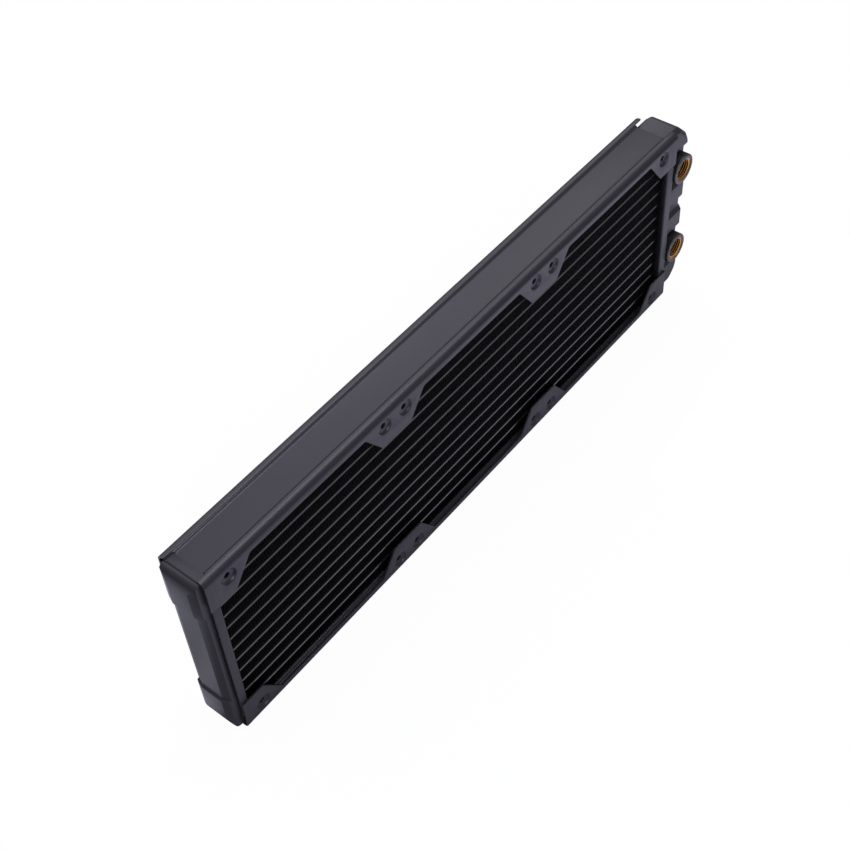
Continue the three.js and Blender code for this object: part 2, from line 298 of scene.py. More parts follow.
def turn_rings(name, centre, rings, steps, closed=True):
    """A shape turned about an axis along Y: a circle is extruded from ring to ring, each given as
    its radius and its place along Y. closed joins the last ring to the first; otherwise both stay
    open."""
    clear_selection()
    radius, along = rings[0]
    bpy.ops.mesh.primitive_circle_add(
        vertices=steps,
        radius=radius * MM,
        fill_type="NOTHING",
        location=at(centre[0], along, centre[1]),
        rotation=(math.pi / 2, 0, 0),
    )
    piece = begin(name)
    bpy.ops.mesh.select_all(action="SELECT")
    for next_radius, next_along in rings[1:] + rings[:1] * closed:
        bpy.ops.mesh.extrude_edges_move(
            TRANSFORM_OT_translate={"value": Vector((0, next_along - along, 0)) * MM}
        )
        ratio = next_radius / radius
        bpy.ops.transform.resize(
            value=(ratio, 1, ratio), center_override=at(centre[0], next_along, centre[1])
        )
        radius, along = next_radius, next_along
    weld()
    bpy.ops.object.mode_set(mode="OBJECT")
    return piece


def turn_plug(centre, radius, ends, steps):
    """A solid cylinder along Y, to be cut out of a piece."""
    plug = turn_rings("plug", centre, [(radius, end) for end in ends], steps, False)
    edit(plug)
    bpy.ops.mesh.select_all(action="SELECT")
    bpy.ops.mesh.region_to_loop()
    bpy.ops.mesh.fill_holes(sides=0)
    face_out()
    return plug


def copy_piece(piece, name):
    copied = piece.copy()
    copied.data = piece.data.copy()
    copied.name = copied.data.name = name
    bpy.context.collection.objects.link(copied)
    return copied


def finish(piece, material, nodes, smooth=35):
    """Shades the piece, gives it its material and sets it in the frame in place of these nodes."""
    only(piece)
    bpy.ops.object.shade_smooth_by_angle(angle=math.radians(smooth))
    piece.data.materials.clear()
    piece.data.materials.append(material)
    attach(piece, "root")
    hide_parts(*nodes)


# ---- Materials ----


class Value:
    """A socket on its way through a material. Arithmetic on it adds Math nodes."""

    def __init__(self, graph, socket):
        self.graph = graph
        self.socket = socket

    def __add__(self, other):
        return self.graph.math("ADD", self, other)

    def __sub__(self, other):
        return self.graph.math("SUBTRACT", self, other)

    def __mul__(self, other):
        return self.graph.math("MULTIPLY", self, other)

    __radd__ = __add__
    __rmul__ = __mul__


class Finish:
    """A procedural material: a Principled surface and the nodes that feed it."""

    def __init__(self, name):
        self.material = bpy.data.materials.new(name)
        self.material.use_nodes = True
        self.tree = self.material.node_tree
        self.tree.nodes.clear()
        self.place = self.node("ShaderNodeTexCoord", out="Object")

    def node(self, kind, settings=None, values=None, out=0):
        """Adds a node with its settings, then its sockets' values or links, and gives one output."""
        made = self.tree.nodes.new(kind)
        for name, value in (settings or {}).items():
            if name == "stops":
                ramp = made.color_ramp
                ramp.elements.remove(ramp.elements[1])
                for i, (position, shade) in enumerate(value):
                    stop = ramp.elements[0] if i == 0 else ramp.elements.new(position)
                    stop.position = position
                    stop.color = (*shade, 1) if isinstance(shade, tuple) else (shade,) * 3 + (1,)
            else:
                setattr(made, name, value)
        for name, value in (values or {}).items():
            if isinstance(value, Value):
                self.tree.links.new(value.socket, made.inputs[name])
            else:
                made.inputs[name].default_value = value
        return Value(self, made.outputs[out])

    def math(self, operation, first, second=0.0):
        return self.node("ShaderNodeMath", {"operation": operation}, {0: first, 1: second})

    def along(self, axis):
        """The place along one axis."""
        return self.node("ShaderNodeSeparateXYZ", None, {0: self.place}, axis)

    def length(self, arm):
        return self.node("ShaderNodeVectorMath", {"operation": "LENGTH"}, {0: arm}, "Value")

    def spread(self, value, low, high, at_low, at_high):
        """Goes from at_low to at_high while the value goes from low to high."""
        given = {0: value, 1: low, 2: high, 3: at_low, 4: at_high}
        return self.node("ShaderNodeMapRange", None, given)

    def noise(self, scale, detail, stretch=(1, 1, 1)):
        """Noise from 0 to 1. scale is its number of features in a metre."""
        place = self.node("ShaderNodeMapping", None, {"Vector": self.place, "Scale": stretch})
        return self.node(
            "ShaderNodeTexNoise", None, {"Vector": place, "Scale": scale, "Detail": detail}, "Fac"
        )

    def ramp(self, value, *stops):
        return self.node("ShaderNodeValToRGB", {"stops": stops}, {"Fac": value}, "Color")

    def mix(self, share, first, second):
        """Mixes two colours. The share is the second one's."""
        return self.node("ShaderNodeMix", {"data_type": "RGBA"}, {0: share, 6: first, 7: second}, 2)

    def bump(self, height, strength, distance, normal=None):
        values = {"Height": height, "Strength": strength, "Distance": distance}
        if normal:
            values["Normal"] = normal
        return self.node("ShaderNodeBump", None, values, "Normal")

    def surface(self, values):
        shader = self.node("ShaderNodeBsdfPrincipled", None, values, "BSDF")
        self.node_output(shader)
        return self.material

    def node_output(self, shader):
        made = self.tree.nodes.new("ShaderNodeOutputMaterial")
        self.tree.links.new(shader.socket, made.inputs["Surface"])


def tone(shade, factor):
    return (*(channel * factor for channel in shade), 1)


def shared(make):
    """Makes a material on its first use, named as its function is, and gives the same one later."""

    @functools.wraps(make)
    def give():
        name = make.__name__
        return bpy.data.materials.get(name) or make(
            Finish(name), bpy.context.scene.radiator_finishes
        )

    return give


@shared
def powder_coat(look, finishes):
    """Satin black powder coat: an orange-peel skin with fine grain and slow drifts of shade."""
    shade = finishes.coat
    drift = look.noise(35, 3)
    peel = look.noise(1500, 2)
    grain = look.noise(5200, 1)
    colour = look.mix(drift, tone(shade, 0.88), tone(shade, 1.12))
    speck = look.ramp(grain, (0.66, 0.0), (0.74, 1.0))
    colour = look.mix(speck * 0.25, colour, tone(shade, 1.9))
    normal = look.bump(peel, 0.16, 0.00012)
    normal = look.bump(grain, 0.1, 0.00004, normal)
    return look.surface(
        {
            "Base Color": colour,
            "Roughness": 0.32 + drift * 0.08 + grain * 0.06,
            "IOR": 1.5,
            "Specular Tint": (0.84, 0.82, 1.0, 1),
            "Normal": normal,
        }
    )


@shared
def collar_coat(look, finishes):
    """The same coat on a turned collar: satin on its front ring, and dull along its side, whose colour
    is painted darker as shade.
    """
    shade = finishes.coat
    drift = look.noise(60, 3)
    grain = look.noise(5200, 1)
    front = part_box("upper_port_collar")[0].y
    ring = look.spread(look.along("Y") - front, 0.0004, 0.001, 1.0, 0.12)
    # Painted shade: along the side the coat's colour is taken down to less than half.
    colour = look.mix(drift, tone(shade, 0.4), tone(shade, 0.6))
    colour = look.mix(ring, colour, look.mix(drift, tone(shade, 0.88), tone(shade, 1.12)))
    return look.surface(
        {
            "Base Color": colour,
            "Roughness": 0.5 + grain * 0.1,
            "Specular IOR Level": 0.1,
            "Coat Weight": ring,
            "Coat Roughness": 0.38,
            "Coat IOR": 1.55,
            "Coat Tint": (0.95, 0.94, 1, 1),
            "Normal": look.bump(grain, 0.12, 0.00004),
        }
    )


@shared
def fin_coat(look, finishes):
    """Thin black coat over folded foil, with fine slits across and a faint cool sheen, painted into
    its colour as bright specks.
    """
    shade = finishes.core
    patch = look.noise(260, 2)
    sheen_noise = look.noise(2400, 2)
    # Painted sheen: bright, cool specks in the colour stand for light catching the foil.
    bright = look.ramp(sheen_noise, (0.6, 0.0), (0.78, 1.0))
    colour = look.mix(patch, tone(shade, 0.7), tone(shade, 1.3))
    colour = look.mix(bright * 0.5, colour, (0.01, 0.01, 0.014, 1))
    slits = look.node(
        "ShaderNodeTexWave",
        {"bands_direction": "Y"},
        {"Vector": look.place, "Scale": 160.0, "Distortion": 0.4},
        "Fac",
    )
    return look.surface(
        {
            "Base Color": colour,
            "Roughness": 0.42 + patch * 0.16,
            "Specular IOR Level": 0.12,
            "Normal": look.bump(slits, 0.35, 0.00012),
        }
    )


@shared
def drawn_tube_coat(look, finishes):
    """Thin coat over drawn aluminium tube, with lines along its length."""
    shade = finishes.tube
    lines = look.noise(2600, 3, (0.02, 1, 1))
    patch = look.noise(90, 3)
    colour = look.mix(patch, tone(shade, 0.75), tone(shade, 1.25))
    # A thin line of gloss runs along each nose, a little above its middle.
    low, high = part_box("tube_01")
    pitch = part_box("tube_02")[0].z - low.z
    line_height = (low.z + high.z) / 2 + 0.00055
    off = look.math("PINGPONG", look.along("Z") - line_height, pitch / 2)
    line = look.spread(off, 0.00014, 0.00026, 1.0, 0.0)
    return look.surface(
        {
            "Base Color": colour,
            "Roughness": 0.4 + lines * 0.08,
            "Specular IOR Level": 0.1,
            "Coat Weight": line * (0.85 + patch * 0.15),
            "Coat Roughness": 0.18,
            "Coat IOR": 3.2,
            "Normal": look.bump(lines, 0.15, 0.00005),
        }
    )


@shared
def turned_brass(look, finishes):
    """Turned brass: fine tool marks round the axis, a little tarnish at random, and painted shade at
    the bottoms of the grooves.
    """
    shade = finishes.brass
    marks = look.noise(5200, 2, (0.05, 1, 0.05))
    tarnish = look.noise(420, 3)
    dull = (shade[0] * 0.78, shade[1] * 0.66, shade[2] * 0.55, 1)
    colour = look.mix(tarnish, tone(shade, 1.1), dull)
    # The bottoms of the grooves are painted dark, as shade. The two bores lie as far above and below
    # the middle of the field, so one distance serves both.
    low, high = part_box("upper_port_thread")
    axis = (low + high) / 2
    height = look.math("ABSOLUTE", look.along("Z") - FIELD.z)
    arm = {"X": look.along("X") - axis.x, "Z": height - (axis.z - FIELD.z)}
    radius = look.length(look.node("ShaderNodeCombineXYZ", None, arm, "Vector"))
    groove_shade = look.spread(radius, 0.00595, 0.0065, 0.0, 0.9)
    rim = look.spread(radius, 0.0066, 0.0067, 1.0, 0.0)
    # Painted shade: the thread's roots go near-black brown.
    colour = look.mix(groove_shade * rim, colour, (0.06, 0.025, 0.01, 1))
    return look.surface(
        {
            "Base Color": colour,
            "Metallic": 1.0,
            "Roughness": 0.28 + marks * 0.16 + tarnish * 0.08,
            "Normal": look.bump(marks, 0.12, 0.00004),
        }
    )


# ---- Side plates ----


def fold_plate(sizes):
    """The upper side plate as one skin: web, pressed panel, folds and flanges."""
    bend = sizes.bend_radius / MM
    depth = sizes.panel_depth / MM
    crest = HALF_DEPTH - bend
    # The panel's slopes run from the rims to their feet in this many steps.
    rim, foot, steps = crest - 0.4, 7.9, 7
    panel_end, strip_start = -PANEL_HALF - 0.4, -PANEL_HALF - 1.1
    plate = add_sheet(
        "upper_side_plate_skin",
        (-HALF_LENGTH, -crest, HALF_WIDTH),
        (HALF_LENGTH, crest, HALF_WIDTH),
    )
    roll_places = [inset - HALF_LENGTH for inset in (0, 0.05, 0.25, 0.6, 1.1)]
    roll_drops = [1.2, 0.75, 0.5, 0.24, 0.06]
    for x in [strip_start, panel_end, PANEL_HALF] + roll_places[1:]:
        cut((x, 0, 0), (1, 0, 0))
    # The panel is pressed down along an S-shaped slope inside each rim.
    rows = [rim - (rim - foot) * i / steps for i in range(steps + 1)]
    for y in rows:
        for side in (-1, 1):
            cut((0, side * y, 0), (0, 1, 0))
    choose("FACE", lambda p, n: p.x > PANEL_HALF and abs(p.y) < rim)
    bpy.ops.mesh.delete(type="FACE")
    drops = [depth * (1 - math.cos(math.pi * i / steps)) / 2 for i in range(steps + 1)]
    for i in range(1, steps + 1):
        choose("VERT", lambda p: abs(p.y) < rows[i] + NEAR and p.x < PANEL_HALF + 0.1)
        shift(0, 0, drops[i - 1] - drops[i])
    # Past the panel's end a strip lies a little lower, between steeper slopes.
    for side in (-1, 1):
        choose("VERT", lambda p: p.x < strip_start + NEAR and 1 < side * p.y < rim - NEAR)
        bpy.ops.transform.resize(value=(1, 0.45, 1), center_override=at(0, side * rim, 0))
    choose("VERT", lambda p: p.x < strip_start + NEAR and abs(p.y) < rim - NEAR)
    bpy.ops.transform.resize(value=(1, 1, 1.35), center_override=at(0, 0, HALF_WIDTH))
    # The strip's end rolls down.
    for x, drop in zip(roll_places, roll_drops):
        choose("VERT", lambda p: abs(p.x - x) < NEAR and abs(p.y) < rim - NEAR)
        shift(0, 0, -drop)
    for face in (-1, 1):
        choose("EDGE", lambda a, b: min(face * a.y, face * b.y) > crest - NEAR)
        bpy.ops.mesh.spin(
            steps=sizes.bend_steps,
            angle=face * math.pi / 2,
            center=at(0, face * crest, HALF_WIDTH - bend),
            axis=(1, 0, 0),
        )
        bpy.ops.mesh.extrude_edges_move(
            TRANSFORM_OT_translate={"value": (0, 0, (TAB_TIP - HALF_WIDTH + bend) * MM)}
        )
    weld()
    return plate


def gaps(corner, half):
    """The two ends of each of the three gaps between a flange's tabs, at one height. corner is
    where the corner tabs end, and half is half the length of a tab between two fans."""
    seam = FAN_PITCH / 2
    return [(-corner, -seam - half), (half - seam, seam - half), (seam + half, corner)]


def window_cutter():
    """The six gaps between the tabs of one side plate, as three bars through both flanges."""
    root = HALF_WIDTH - FLANGE_REACH
    past = TAB_TIP - 3
    tips = gaps(170.3, 10.75)
    roots = gaps(159, 21.5)
    bars = []
    for tip, base in zip(tips, roots):
        slopes = [(b - t) / (root - TAB_TIP) for t, b in zip(tip, base)]
        low = [t - s * (TAB_TIP - past) for t, s in zip(tip, slopes)]
        bar = add_block("window_bar", (low[0], -HALF_DEPTH - 2, past), (low[1], HALF_DEPTH + 2, root))
        middle = (low[0] + low[1]) / 2
        for side, end in enumerate(base):
            sign = 1 if side else -1
            choose("VERT", lambda p: p.z > root - NEAR and sign * (p.x - middle) > 1)
            shift(end - low[side], 0, 0)
        choose("EDGE", lambda a, b: min(a.z, b.z) > root - NEAR and abs(a.y - b.y) > 1)
        round_edges(1.2, 4)
        bars.append(bar)
    return join(bars)


def dimple_rings(face):
    """Profile of one pressed screw dimple through the sheet: front skin, hole, back skin."""
    outer = [(DIMPLE_RADIUS, 0), (4.68, 0.03), (4.45, 0.16), (4.2, 0.42), (3.95, 0.78), (3.7, 1.06)]
    outer += [(3.4, 1.22), (3.0, 1.29), (1.85, 1.3), (1.66, 1.34), (1.6, 1.46), (1.6, 2.2)]
    outer += [(1.68, 2.3), (3.7, 2.3), (4.3, 2.1), (4.6, 1.7), (4.75, 1.2), (DIMPLE_RADIUS, 1.0)]
    return [(radius, face * (HALF_DEPTH - depth)) for radius, depth in outer]


def press_dimples(plate, height):
    """Opens a round hole at each screw place and sews a pressed dimple into it."""
    steps = 40
    plugs = []
    dimples = []
    for face in (-1, 1):
        for x in SCREW_PLACES:
            ends = (face * (HALF_DEPTH + 1), face * (HALF_DEPTH - 2))
            plugs.append(turn_plug((x, height), DIMPLE_RADIUS, ends, steps))
            dimples.append(turn_rings("dimple", (x, height), dimple_rings(face), steps, False))
    carve(plate, join(plugs))
    edit(plate)
    choose(
        "FACE",
        lambda p, n: abs(n.y) < 0.1
        and abs(p.y) > HALF_DEPTH - 1.1
        and min(math.hypot(p.x - x, p.z - height) for x in SCREW_PLACES) < DIMPLE_RADIUS,
    )
    bpy.ops.mesh.delete(type="FACE")
    plate = join([plate] + dimples)
    bpy.ops.object.mode_set(mode="EDIT")
    weld(2e-5)
    bpy.ops.object.mode_set(mode="OBJECT")
    return plate


class RADIATOR_OT_side_plates(bpy.types.Operator):
    """Folds the two long side plates with their panels, tabs and screw dimples"""

    bl_idname = "radiator.side_plates"
    bl_label = "Side Plates"

    def execute(self, context):
        sizes = context.scene.radiator_sizes
        plate = fold_plate(sizes)
        apply(plate, "SOLIDIFY", thickness=sizes.sheet, offset=-1, use_even_offset=True)
        carve(plate, window_cutter())
        edit(plate)
        choose(
            "EDGE",
            lambda a, b: max(abs(a.z - TAB_TIP), abs(b.z - TAB_TIP)) < NEAR
            and abs(a.x - b.x) < NEAR
            and abs(a.y - b.y) > 0.5,
        )
        round_edges(0.9, 4)
        plate = press_dimples(plate, SCREW)
        soften(plate, sizes.edge_round, 2, 60)
        # Closes the slits of no width that the sewing leaves at a dimple's rim.
        edit(plate)
        bpy.ops.mesh.select_all(action="SELECT")
        bpy.ops.mesh.fill_holes(sides=0)
        bpy.ops.object.mode_set(mode="OBJECT")
        lower = copy_piece(plate, "lower_side_plate_skin")
        edit(lower)
        bpy.ops.mesh.select_all(action="SELECT")
        bpy.ops.transform.resize(value=(1, 1, -1), center_override=at(0, 0, 0))
        face_out()
        # The lower plate ends a little short of the upper one at the return end.
        choose("VERT", lambda p: p.x < -HALF_LENGTH + 1.5)
        shift(1.3, 0, 0)
        finish(plate, powder_coat(), ["upper_side_plate"])
        finish(lower, powder_coat(), ["lower_side_plate"])
        return {"FINISHED"}


# ---- End bars ----


class RADIATOR_OT_end_bars(bpy.types.Operator):
    """Makes the four upright strips behind the corner tabs"""

    bl_idname = "radiator.end_bars"
    bl_label = "End Bars"

    def execute(self, context):
        sizes = context.scene.radiator_sizes
        sheet = sizes.sheet / MM
        for node in ("front_left_bar", "front_right_bar", "rear_left_bar", "rear_right_bar"):
            low, high = corners(node)
            face = 1 if low.y > 0 else -1
            inward = 1 if low.x < 0 else -1
            if inward > 0:
                # At the return end the strips start a little further in than the frame's bars.
                low.x += 1.1
            flat = (high.y - sheet, high.y) if face > 0 else (low.y, low.y + sheet)
            bar = add_block(node + "_strip", (low.x, flat[0], low.z), (high.x, flat[1], high.z))
            inner = high.x if inward > 0 else low.x
            root = inner - inward * sheet
            # The inner edge is turned back along the depth.
            cut((root, 0, 0), (1, 0, 0))
            choose("FACE", lambda p, n: n.y * face < -0.9 and abs(p.x - inner) < sheet)
            reach = high.y - low.y - sheet
            bpy.ops.mesh.extrude_region_move(
                TRANSFORM_OT_translate={"value": (0, -face * reach * MM, 0)}
            )
            weld()
            outer = flat[1] if face > 0 else flat[0]
            choose(
                "EDGE",
                lambda a, b: abs(a.z - b.z) > 50
                and abs(a.x - inner) < NEAR
                and face * a.y > face * outer - NEAR,
            )
            round_edges(0.8, 5)
            soften(bar, sizes.edge_round, 2, 50)
            finish(bar, powder_coat(), [node])
        return {"FINISHED"}


# ---- Tanks ----


def tank_block(name, end):
    """A tank's plain block, a little long at its mouth, and the tank's corners. end is 1 at the
    port end and -1 at the other."""
    low, high = corners(name)
    long_low, long_high = low.copy(), high.copy()
    if end > 0:
        long_low.x -= 1
    else:
        long_high.x += 1
    return add_block(name + "_shell", long_low, long_high), low, high


def cut_corner(end, side, place, normal):
    """Cuts one corner of a tank off along a slope. side is 1 at the top and -1 at the bottom."""
    cut(place, (end * normal[0], 0, side * normal[1]), clear=True, fill=True)


class RADIATOR_OT_tanks(bpy.types.Operator):
    """Makes the port tank with its sunk seats and the return tank with its sunk middle"""

    bl_idname = "radiator.tanks"
    bl_label = "Tanks"

    def execute(self, context):
        self.port_tank()
        self.return_tank()
        return {"FINISHED"}

    def hollow(self, tank, mouth, end):
        """Cuts the mouth open and gives the skin its wall."""
        edit(tank)
        cut((mouth, 0, 0), (-end, 0, 0), clear=True)
        weld(5e-6)
        apply(tank, "SOLIDIFY", thickness=TANK_WALL * MM, offset=-1)

    def port_tank(self):
        tank, low, high = tank_block("port_tank", 1)

        def lies_at(x, z):
            """Tests whether an edge runs along the depth, at this length and height."""
            return lambda a, b: abs(a.y - b.y) > 1 and all(
                abs(p.x - x) < NEAR and abs(p.z - z) < NEAR for p in (a, b)
            )

        # The corners are cut off and rounded, the lower one less.
        for side, size, rounding in ((1, 11.6, 3.5), (-1, 7.6, 4)):
            foot = side * (high.z - size)
            cut_corner(1, side, (high.x, 0, foot), (1, 1))
            choose("EDGE", lies_at(high.x, foot))
            round_edges(rounding, 5)
            choose("EDGE", lies_at(high.x - size, side * high.z))
            round_edges(2.5, 4)
        # A bevel runs all round the front and the back.
        bevel = 2.5
        choose("EDGE", lambda a, b: abs(a.y - b.y) < NEAR and max(a.x, b.x) > low.x)
        bpy.ops.mesh.bevel(offset=bevel * MM, offset_type="OFFSET", segments=1, affect="EDGES")
        # The front is sunk in its middle and round each port, with slopes at the edges.
        centre, _, port = middle_of("upper_port_collar")
        start, run = HALF_LENGTH + 0.2, 1.2
        gap, seat, half_slope, sink = 4.5, 12.5, 0.9, 2.2
        edges = (gap, port - seat, port + seat)
        levels = [z + step for z in edges for step in (-half_slope, half_slope)]
        for z in levels:
            for side in (-1, 1):
                cut((0, 0, side * z), (0, 0, side))
        for x in (start, start + run):
            cut((x, 0, 0), (1, 0, 0))

        def sunk(z):
            z = abs(z)
            return z < levels[0] + NEAR or levels[3] - NEAR < z < levels[4] + NEAR

        front = low.y + bevel + 0.1
        choose("VERT", lambda p: p.y < front and p.x > start + run - 0.1 and sunk(p.z))
        shift(0, sink, 0)
        soften(tank, 0.7 * MM, 3, 20)
        self.hollow(tank, low.x, 1)
        # Each collar's stub stands in a hole through the front.
        hole = 8.5
        plugs = [turn_plug((centre, side * port), hole, (-12, 0), 48) for side in (-1, 1)]
        carve(tank, join(plugs))
        finish(tank, powder_coat(), ["port_tank"])

    def return_tank(self):
        tank, low, high = tank_block("return_tank", -1)
        slope_height, slope_normal = 6, (0.946, 0.324)
        bevel_depth, bevel_normal = 4.4, (0.926, 0.379)
        for side in (-1, 1):
            # A steep slope, then a round shoulder above it.
            cut_corner(-1, side, (low.x, 0, side * (high.z - slope_height)), slope_normal)
            choose(
                "EDGE",
                lambda a, b: abs(a.y - b.y) > 1
                and low.x + 0.1 < a.x < low.x + 4
                and abs(a.z - side * high.z) < NEAR,
            )
            round_edges(3.2, 7)
        for face in (-1, 1):
            # The front and the back are bevelled more along the depth than along the length.
            place = (low.x, face * (high.y - bevel_depth), 0)
            cut(place, (-bevel_normal[0], face * bevel_normal[1], 0), clear=True, fill=True)
        # The middle section is sunk, between short slopes.
        sunk_half, slope, sink = 34.8, 0.6, 1.2
        for side in (-1, 1):
            for z in (sunk_half, sunk_half + slope):
                cut((0, 0, side * z), (0, 0, side))
        choose("VERT", lambda p: p.x < -HALF_LENGTH - 0.2 and abs(p.z) < sunk_half + 0.1)
        shift(sink, 0, 0)
        soften(tank, 0.25 * MM, 3, 20)
        self.hollow(tank, high.x, -1)
        finish(tank, powder_coat(), ["return_tank"])


# ---- Ports ----


def thread_skin(centre, front, back, pitch):
    """The inside of a threaded bore, from front to back: a V profile wound round the bore."""
    major, minor = 6.58, 5.8
    turns = math.ceil((back - front) / pitch) + 3
    low = front - 1.5 * pitch
    profile = [(major, 0), (major, 0.12), (minor, 0.46), (minor, 0.54), (major, 0.88), (major, 1)]
    profile = [(radius, along * pitch) for radius, along in profile]
    clear_selection()
    bpy.ops.mesh.primitive_plane_add(size=MM, location=(major * MM, 0, 0))
    skin = begin("thread_skin")
    bpy.ops.mesh.select_mode(type="VERT")
    bpy.ops.mesh.select_all(action="SELECT")
    bpy.ops.mesh.merge(type="CENTER")
    for (radius, along), (next_radius, next_along) in zip(profile, profile[1:]):
        bpy.ops.mesh.extrude_vertices_move(
            TRANSFORM_OT_translate={
                "value": Vector((next_radius - radius, next_along - along, 0)) * MM
            }
        )
    apply(
        skin,
        "SCREW",
        axis="Y",
        angle=2 * math.pi,
        screw_offset=pitch * MM,
        iterations=turns,
        steps=THREAD_STEPS,
        render_steps=THREAD_STEPS,
        use_merge_vertices=True,
        merge_threshold=1e-6,
    )
    edit(skin)
    bpy.ops.mesh.select_all(action="SELECT")
    bpy.ops.mesh.remove_doubles(threshold=2e-6)
    bpy.ops.transform.translate(value=at(centre[0], low, centre[1]))
    cut((0, front, 0), (0, -1, 0), clear=True)
    cut((0, back, 0), (0, 1, 0), clear=True)
    bpy.ops.object.mode_set(mode="OBJECT")
    return skin


def thread_bush(name, centre, front, back, pitch):
    """A brass bush: a plain outside joined to a threaded bore by a chamfer and a flat back."""
    lead, tail = front + 0.35, back - 0.11
    mouth, body = 6.92, 7.35
    rings = [(mouth, front), (body, front), (body, back)]
    outside = turn_rings(name, centre, rings, TURN_STEPS, False)
    bush = join([outside, thread_skin(centre, lead, tail, pitch)])
    bpy.ops.object.mode_set(mode="EDIT")
    for bore, rim, radius in ((lead, front, mouth), (tail, back, body)):

        def in_rim(p):
            """In the end of the bore, or in the outer rim that it is joined to."""
            reach = math.hypot(p.x - centre[0], p.z - centre[1])
            if reach < 6.7:
                return abs(p.y - bore) < 0.002
            return abs(p.y - rim) < 0.002 and abs(reach - radius) < 0.03

        choose("EDGE", lambda a, b: in_rim(a) and in_rim(b))
        bpy.ops.mesh.bridge_edge_loops()
    face_out()
    bpy.ops.object.mode_set(mode="OBJECT")
    return bush


class RADIATOR_OT_ports(bpy.types.Operator):
    """Turns the two port collars and their brass thread bushes"""

    bl_idname = "radiator.ports"
    bl_label = "Ports"

    def execute(self, context):
        pitch = context.scene.radiator_sizes.thread_pitch / MM
        for name in ("lower_port", "upper_port"):
            low, high = corners(name + "_collar")
            x, _, z = middle_of(name + "_collar")
            outside = (high.x - low.x) / 2
            front = low.y
            seat = front + 5.5
            lip, bore, stub = 6.95, 7.45, 8.3
            rings = [(lip, front + 0.25), (7.02, front + 0.06), (7.2, front)]
            rings += [(outside - 0.75, front), (outside - 0.3, front + 0.1)]
            rings += [(outside - 0.08, front + 0.35), (outside, front + 0.75)]
            rings += [(outside, seat), (stub, seat), (stub, high.y), (bore, high.y)]
            rings += [(bore, front + 0.4), (lip, front + 0.4)]
            collar = turn_rings(name + "_collar_ring", (x, z), rings, TURN_STEPS)
            finish(collar, collar_coat(), [name + "_collar"], 40)
            bush = thread_bush(name + "_thread_bush", (x, z), front + 0.42, high.y, pitch)
            finish(bush, turned_brass(), [name + "_thread"], 25)
        return {"FINISHED"}


# ---- Core ----


class RADIATOR_OT_tubes(bpy.types.Operator):
    """Makes the flat tubes with their round noses"""

    bl_idname = "radiator.tubes"
    bl_label = "Tubes"

    def execute(self, context):
        for i in range(1, TUBES + 1):
            node = f"tube_{i:02d}"
            low, high = corners(node)
            tube = add_block(node + "_shell", low, high)
            choose("FACE", lambda p, n: abs(n.x) > 0.9)
            bpy.ops.mesh.delete(type="FACE")
            choose("EDGE", lambda a, b: abs(a.x - b.x) > 50)
            round_edges(0.99 * (high.z - low.z) / 2, 6)
            apply(tube, "SOLIDIFY", thickness=TUBE_WALL * MM, offset=-1)
            finish(tube, drawn_tube_coat(), [node], 50)
        return {"FINISHED"}


class RADIATOR_OT_fins(bpy.types.Operator):
    """Folds the fin strips that run between the tubes"""

    bl_idname = "radiator.fins"
    bl_label = "Fins"

    def execute(self, context):
        sizes = context.scene.radiator_sizes
        low, high = corners("fin_01")
        length = high.x - low.x
        folds = round(length * MM / sizes.fin_pitch)
        pitch = length / folds
        steps = 8
        middle = (low.z + high.z) / 2
        fold = add_sheet("fin_fold", (low.x, low.y, middle), (low.x + pitch, high.y, middle))
        for i in range(1, steps):
            cut((low.x + i * pitch / steps, 0, 0), (1, 0, 0))
        crest = (high.z - low.z - sizes.fin_sheet / MM) / 2
        top = 0.96
        heights = [-top, -0.8, 0, 0.8, top, 0.8, 0, -0.8, -top]
        for i, height in enumerate(heights):
            x = low.x + i * pitch / steps
            choose("VERT", lambda p: abs(p.x - x) < 0.2 * pitch / steps)
            shift(0, 0, height * crest / top)
        apply(fold, "ARRAY", count=folds, use_merge_vertices=True, merge_threshold=1e-6)
        apply(fold, "SOLIDIFY", thickness=sizes.fin_sheet, offset=0)
        for i in range(1, TUBES + 2):
            node = f"fin_{i:02d}"
            strip = copy_piece(fold, node + "_folded")
            edit(strip)
            bpy.ops.mesh.select_all(action="SELECT")
            shift(0, 0, corners(node)[0].z - low.z)
            finish(strip, fin_coat(), [node], 40)
        discard(fold)
        return {"FINISHED"}


class RADIATOR_OT_core_plates(bpy.types.Operator):
    """Finishes the header plates and the baffle that the frame already gives"""

    bl_idname = "radiator.core_plates"
    bl_label = "Core Plates"

    def execute(self, context):
        for node in ("return_header", "port_header", "tank_baffle"):
            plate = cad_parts[node]
            plate.data.materials.clear()
            plate.data.materials.append(fin_coat())
        return {"FINISHED"}


# ---- Studio ----


